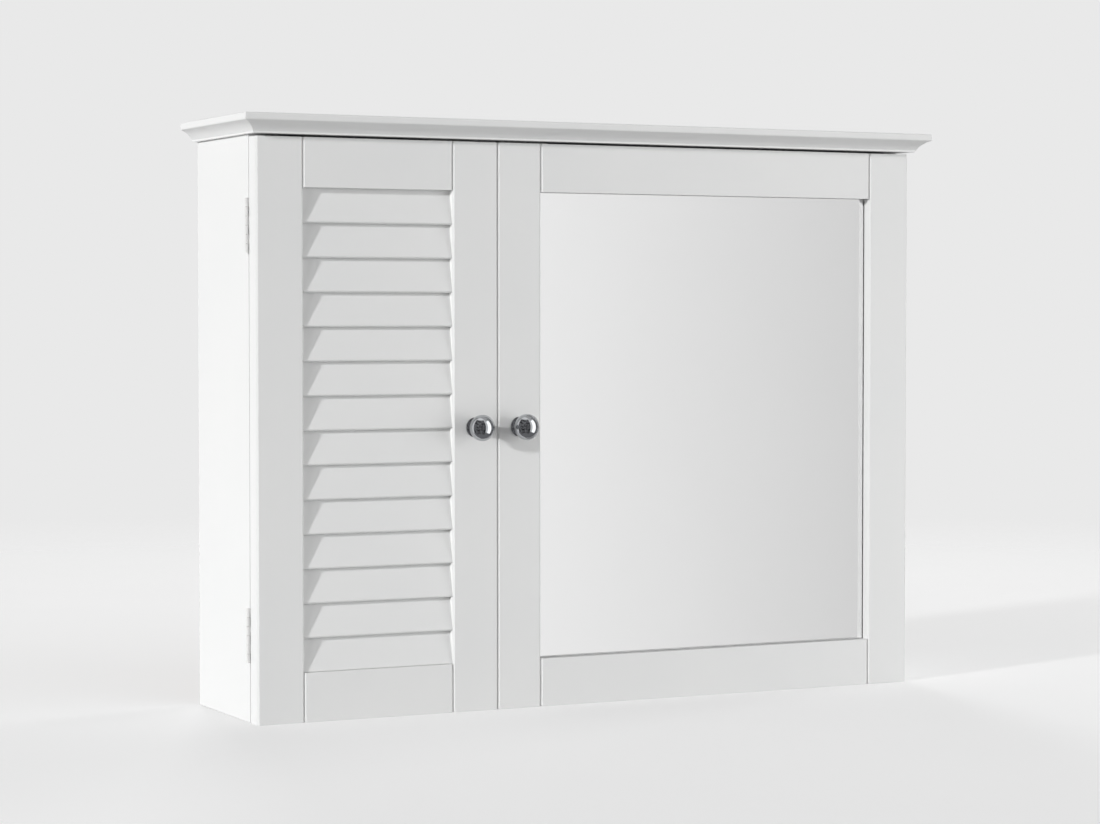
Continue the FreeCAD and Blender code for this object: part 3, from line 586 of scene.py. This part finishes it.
# %% [markdown]
# The seam between the doors. In the photograph the louvred door's edge at the seam is sharp, and only the
# mirror door's edge beside it is eased and catches the light. The CAD stile is eased there too, which
# draws a dark line. Its copy has the two long lines of that easing drawn together, so only a sanded edge
# is left.

# %% Sharp edge at the seam
EASED = 1.5 * MM
SEAM_EDGE = 0.3 * MM

stile = welded("louvre_door_right_stile")
low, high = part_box("louvre_door_right_stile")
moved = 0
for corner in stile.verts:
    in_from_side = high.x - corner.co.x
    in_from_face = corner.co.y - low.y
    if in_from_face < WELD and abs(in_from_side - EASED) < WELD:
        corner.co.x = high.x - SEAM_EDGE
        moved += 1
    elif in_from_side < WELD and abs(in_from_face - EASED) < WELD:
        corner.co.y = low.y + SEAM_EDGE
        moved += 1
piece = new_piece("louvre_door_right_stile_sharp", stile, "louvre_door", "louvre_door_right_stile")
spray(piece)
print(f"{piece.name}: {moved} points moved")

# %% [markdown]
# The mirror sheet. It is a cut pane whose sharp edges were taken off with a stone, clear in front and
# silvered behind. In a real one the silver lies behind the full thickness, and lamplight creeps through
# the glass under the frame. The renderer doesn't follow that light, so the rim would be nearly black. The
# silver is therefore laid half-way through the sheet, which leaves a thin grey line like the
# photograph's. The sheet fills the CAD pane's box, but for a film of air on its faces: where two faces
# coincide, a ray can't tell which of them it meets.

# %% Mirror sheet
ARRIS = 0.4 * MM
AIR = 0.05 * MM
GLASS_PLACE = 0
SILVER_PLACE = 1


def add_sheet(mesh, low, high, material):
    """Adds a sheet with its sharp edges taken off, in one of the piece's materials."""
    earlier = len(mesh.faces)
    corners = bmesh.ops.create_cube(mesh, size=1)["verts"]
    bmesh.ops.scale(mesh, vec=high - low, verts=corners)
    bmesh.ops.translate(mesh, vec=(low + high) / 2, verts=corners)
    edges = {edge for corner in corners for edge in corner.link_edges}
    bmesh.ops.bevel(mesh, geom=list(edges), offset=ARRIS, segments=1, affect="EDGES")
    mesh.faces.ensure_lookup_table()
    for face in mesh.faces[earlier:]:
        face.material_index = material


low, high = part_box("mirror_glass")
film = Vector((0, AIR, 0))
silver_depth = (low.y + high.y) / 2
pane = bmesh.new()
add_sheet(pane, low + film, Vector((high.x, silver_depth, high.z)), GLASS_PLACE)
add_sheet(pane, Vector((low.x, silver_depth, low.z)) + film, high - film, SILVER_PLACE)
mirror = new_piece("mirror_sheet", pane, "mirror_door", "mirror_glass")
mirror.data.materials.append(clear_glass)
mirror.data.materials.append(silvering)
print("mirror", [round(side / MM, 1) for side in high - low], "mm")

# %% [markdown]
# The floor's finish. The floor is a plain painted sheet under the cabinet that keeps its shadow. A floor
# with an edge would draw a line across the picture, so it fades into the background with distance: a
# round gradient mixes its paint with a transparent shader. White paint would throw so much light up that
# the cornice lost its modelling. The paint is a pale grey instead, and a glow that only the camera's own
# rays meet makes it as pale as the background. From below it is clear, so that it hides nothing.

# %% Floor paint
MOTTLE = 250 * MM
FADE_START = 0.7
FADE_END = 2.4
FLOOR_GLOW = 0.4

floor_paint, tree, place = new_finish("pale_studio_floor")
mottle = add(tree, "TexNoise", {"Vector": place, "Scale": 1 / MOTTLE, "Detail": 3}).outputs["Fac"]
tone = add(tree, "Mix", {SHARE: mottle, FIRST: linear("#C2C2C2"), SECOND: linear("#C6C6C6")},
           data_type="RGBA").outputs[MIXED]
matt = {"Base Color": tone, "Roughness": 0.9, "Specular IOR Level": 0.1}
paint = add(tree, "BsdfPrincipled", matt).outputs[0]
camera_ray = add(tree, "LightPath").outputs["Is Camera Ray"]
lift = add(tree, "Math", {0: camera_ray, 1: FLOOR_GLOW}, operation="MULTIPLY").outputs[0]
glow = add(tree, "Emission", {"Color": linear("#FFFFFF"), "Strength": lift}).outputs[0]
paint = add(tree, "AddShader", {0: paint, 1: glow}).outputs[0]
away = add(tree, "VectorMath", {0: place}, operation="LENGTH").outputs["Value"]
fade = add(tree, "MapRange", {"Value": away, "From Min": FADE_START, "From Max": FADE_END},
           interpolation_type="SMOOTHSTEP").outputs[0]
below = add(tree, "NewGeometry").outputs["Backfacing"]
hidden = add(tree, "Math", {0: fade, 1: below}, operation="MAXIMUM").outputs[0]
gone = add(tree, "BsdfTransparent").outputs[0]
mixed = add(tree, "MixShader", {0: hidden, 1: paint, 2: gone}).outputs[0]
add(tree, "OutputMaterial", {"Surface": mixed})
print(floor_paint.name)

# %% [markdown]
# The floor itself is one square face. A cabinet that hangs is lit from below too, so the floor throws no
# shadow and is left out of reflections. It lies a hair below the cabinet, because two faces in one plane
# would show through each other.

# %% Floor
FLOOR_REACH = 6.0
FLOOR_AIR = 0.2 * MM

sheet = bmesh.new()
bmesh.ops.create_grid(sheet, x_segments=1, y_segments=1, size=FLOOR_REACH)
floor_data = bpy.data.meshes.new("floor")
sheet.to_mesh(floor_data)
sheet.free()
floor = bpy.data.objects.new("floor", floor_data)
bpy.context.scene.collection.objects.link(floor)
floor.location = (0, (cad_box[0].y + cad_box[1].y) / 2, cad_box[0].z - FLOOR_AIR)
floor.data.materials.append(floor_paint)
floor.visible_shadow = False
floor.visible_glossy = False
floor.visible_transmission = False
print(f"floor at {cad_box[0].z / MM:.0f} mm")

# %% [markdown]
# The room as it is seen. The camera sees an even pale backdrop. Chrome and mirror see a room that is pale
# on the left and slopes to grey on the right, which is the soft slope of grey in the mirror. Chrome and
# lacquer also see four parts of it that glass doesn't show: a dim part ahead with dark things in it, dark
# ground, a dark corner at the far right, and a tall bright window. They give the knobs their dark faces
# and the upright highlight. Each part is drawn between two angles, measured from the cabinet's front to
# the right and from level upwards.

# %% Angles in the room
room = bpy.data.worlds.new("studio_room")
bpy.context.scene.world = room
room.use_nodes = True
tree = room.node_tree
tree.nodes.clear()
ray = add(tree, "LightPath").outputs
gaze = add(tree, "TexCoord").outputs["Generated"]
sight = add(tree, "SeparateXYZ", {0: gaze}).outputs
ahead = add(tree, "Math", {0: sight["Y"], 1: -1}, operation="MULTIPLY").outputs[0]
azimuth = add(tree, "Math", {0: sight["X"], 1: ahead}, operation="ARCTAN2").outputs[0]
elevation = add(tree, "Math", {0: sight["Z"]}, operation="ARCSINE").outputs[0]


def between(angle, start, end, blur):
    """Share of the room between two angles, with soft edges outside them."""
    limits = {"From Min": math.radians(start - blur), "From Max": math.radians(start)}
    rise = add(tree, "MapRange", {"Value": angle, **limits}, interpolation_type="SMOOTHSTEP").outputs[0]
    limits = {"From Min": math.radians(end + blur), "From Max": math.radians(end)}
    fall = add(tree, "MapRange", {"Value": angle, **limits}, interpolation_type="SMOOTHSTEP").outputs[0]
    return add(tree, "Math", {0: rise, 1: fall}, operation="MULTIPLY").outputs[0]


def part_of_room(azimuths, elevations, blur):
    """Share of a soft-edged upright rectangle of the room, which glass doesn't show."""
    sides = between(azimuth, *azimuths, blur)
    ends = between(elevation, *elevations, blur)
    share = add(tree, "Math", {0: sides, 1: ends}, operation="MULTIPLY").outputs[0]
    in_glass = ray["Is Transmission Ray"]
    return add(tree, "Math", {0: share, 1: in_glass}, operation="SUBTRACT", use_clamp=True).outputs[0]


print("angles ready")

# %% Room as it is seen
# Degrees: from where to where round the room, from where to where in height, and how wide the edges blur.
PALE_SIDE = (-180, 20, 22)
GROUND = ((-84, 120), (-90, -38), 10)
DARK_CORNER = ((78, 120), (-40, 50), 6)
DIM_PART = ((-79, 17), (-48, 60), 6)
WINDOW = ((39, 68), (-32, 42), 5)
WINDOW_STRENGTH = 2.0
# How many dark things there are to a unit of the direction of sight, and the part of the noise's range that
# is spread from dark to pale to set them off from each other.
THINGS = 5
CONTRAST = {"From Min": 0.4, "From Max": 0.62}

pale = between(azimuth, *PALE_SIDE)
shade = add(tree, "Mix", {SHARE: pale, FIRST: linear("#C0C0C0"), SECOND: linear("#FDFDFD")},
            data_type="RGBA").outputs[MIXED]
clutter = add(tree, "TexNoise", {"Vector": gaze, "Scale": THINGS, "Detail": 3}).outputs["Fac"]
clutter = add(tree, "MapRange", {"Value": clutter, **CONTRAST}).outputs[0]
things = add(tree, "Mix", {SHARE: clutter, FIRST: linear("#1A1A1C"), SECOND: linear("#8C8C8E")},
             data_type="RGBA").outputs[MIXED]
for part, tone in ((GROUND, linear("#7C7C7E")), (DARK_CORNER, things), (DIM_PART, things)):
    shade = add(tree, "Mix", {SHARE: part_of_room(*part), FIRST: shade, SECOND: tone},
                data_type="RGBA").outputs[MIXED]
reflected_room = add(tree, "Background", {"Color": shade}).outputs[0]
window = add(tree, "Background", {"Color": linear("#FFFFFF"), "Strength": WINDOW_STRENGTH}).outputs[0]
bright = part_of_room(*WINDOW)
reflected_room = add(tree, "MixShader", {0: bright, 1: reflected_room, 2: window}).outputs[0]
print("room has dark parts, a window and a slope from pale to grey")

# %% [markdown]
# The room as a lamp. It lights the cabinet softly, more from above than from below. Its parts would tint
# the lacquer unevenly, so the light is a grey that only grows with height. The Light Path node tells
# which ray asks: the camera's, a reflected one, or one that gathers light.

# %% Room as a lamp
ROOM_LOW = 0.05
ROOM_HIGH = 0.36
BACKGROUND = "#E9E9E9"
# Where the light starts and stops to grow, from -1 straight down to 1 straight up.
GROWS_FROM = -0.2
GROWS_TO = 0.7

growth = {"From Min": GROWS_FROM, "From Max": GROWS_TO, "To Min": ROOM_LOW, "To Max": ROOM_HIGH}
strength = add(tree, "MapRange", {"Value": sight["Z"], **growth},
               interpolation_type="SMOOTHSTEP").outputs[0]
lit_room = add(tree, "Background", {"Color": linear("#FFFFFF"), "Strength": strength}).outputs[0]
mirrored = add(tree, "Math", {0: ray["Is Glossy Ray"], 1: ray["Is Transmission Ray"]},
               operation="MAXIMUM").outputs[0]
mixed = add(tree, "MixShader", {0: mirrored, 1: lit_room, 2: reflected_room}).outputs[0]
backdrop = add(tree, "Background", {"Color": linear(BACKGROUND)}).outputs[0]
mixed = add(tree, "MixShader", {0: ray["Is Camera Ray"], 1: mixed, 2: backdrop}).outputs[0]
add(tree, "OutputWorld", {"Surface": mixed})
print(f"room light {ROOM_LOW} from below to {ROOM_HIGH} from above")

# %% [markdown]
# The lamps. The photograph's main light comes from far round to the left and a little above, so the doors
# are lit at a low angle, the slats lie in the stile's slanting shadow, and each knob throws a shadow to
# the right. A second, weaker lamp stands nearer to the camera. A large soft one stands where the room has
# its window and lights the right end of the doors, and a low one stands for the light that is thrown up
# from below. Two more fill the right side and the back, which the photograph doesn't show. All are square
# area lamps: their size sets how soft the shadows are. The room already gives the reflections, so the
# lamps are left out of those.

# %% Lamps
def lamp(name, direction, distance, size, watts):
    """Square lamp that shines at the middle of the cabinet."""
    data = bpy.data.lights.new(name, "AREA")
    data.size = size
    data.energy = watts
    item = bpy.data.objects.new(name, data)
    bpy.context.scene.collection.objects.link(item)
    middle = (cad_box[0] + cad_box[1]) / 2
    item.location = middle + Vector(direction).normalized() * distance
    item.rotation_euler = (middle - item.location).to_track_quat("-Z", "Y").to_euler()
    item.visible_camera = False
    item.visible_glossy = False
    item.visible_transmission = False


lamp("key_lamp", direction=(-3.1, -1, 0.7), distance=20.0, size=1.0, watts=2900)
lamp("left_lamp", direction=(-1.93, -1, 0.2), distance=8.0, size=0.6, watts=70)
lamp("window_lamp", direction=(1.28, -1, 0.0), distance=4.2, size=2.9, watts=85)
lamp("low_lamp", direction=(-0.5, -0.25, -1), distance=4.0, size=2.0, watts=13)
lamp("right_fill_lamp", direction=(1, 0.25, 0.4), distance=6.0, size=1.5, watts=100)
lamp("back_fill_lamp", direction=(0.25, 1, 0.4), distance=6.0, size=1.5, watts=120)

# %% [markdown]
# Last, the picture's colours are kept as written, the sizes of the CAD box and of the dressed box are
# written down so that they can be compared, and the frame is checked.

# %% Finish
bpy.context.scene.view_settings.view_transform = "Standard"
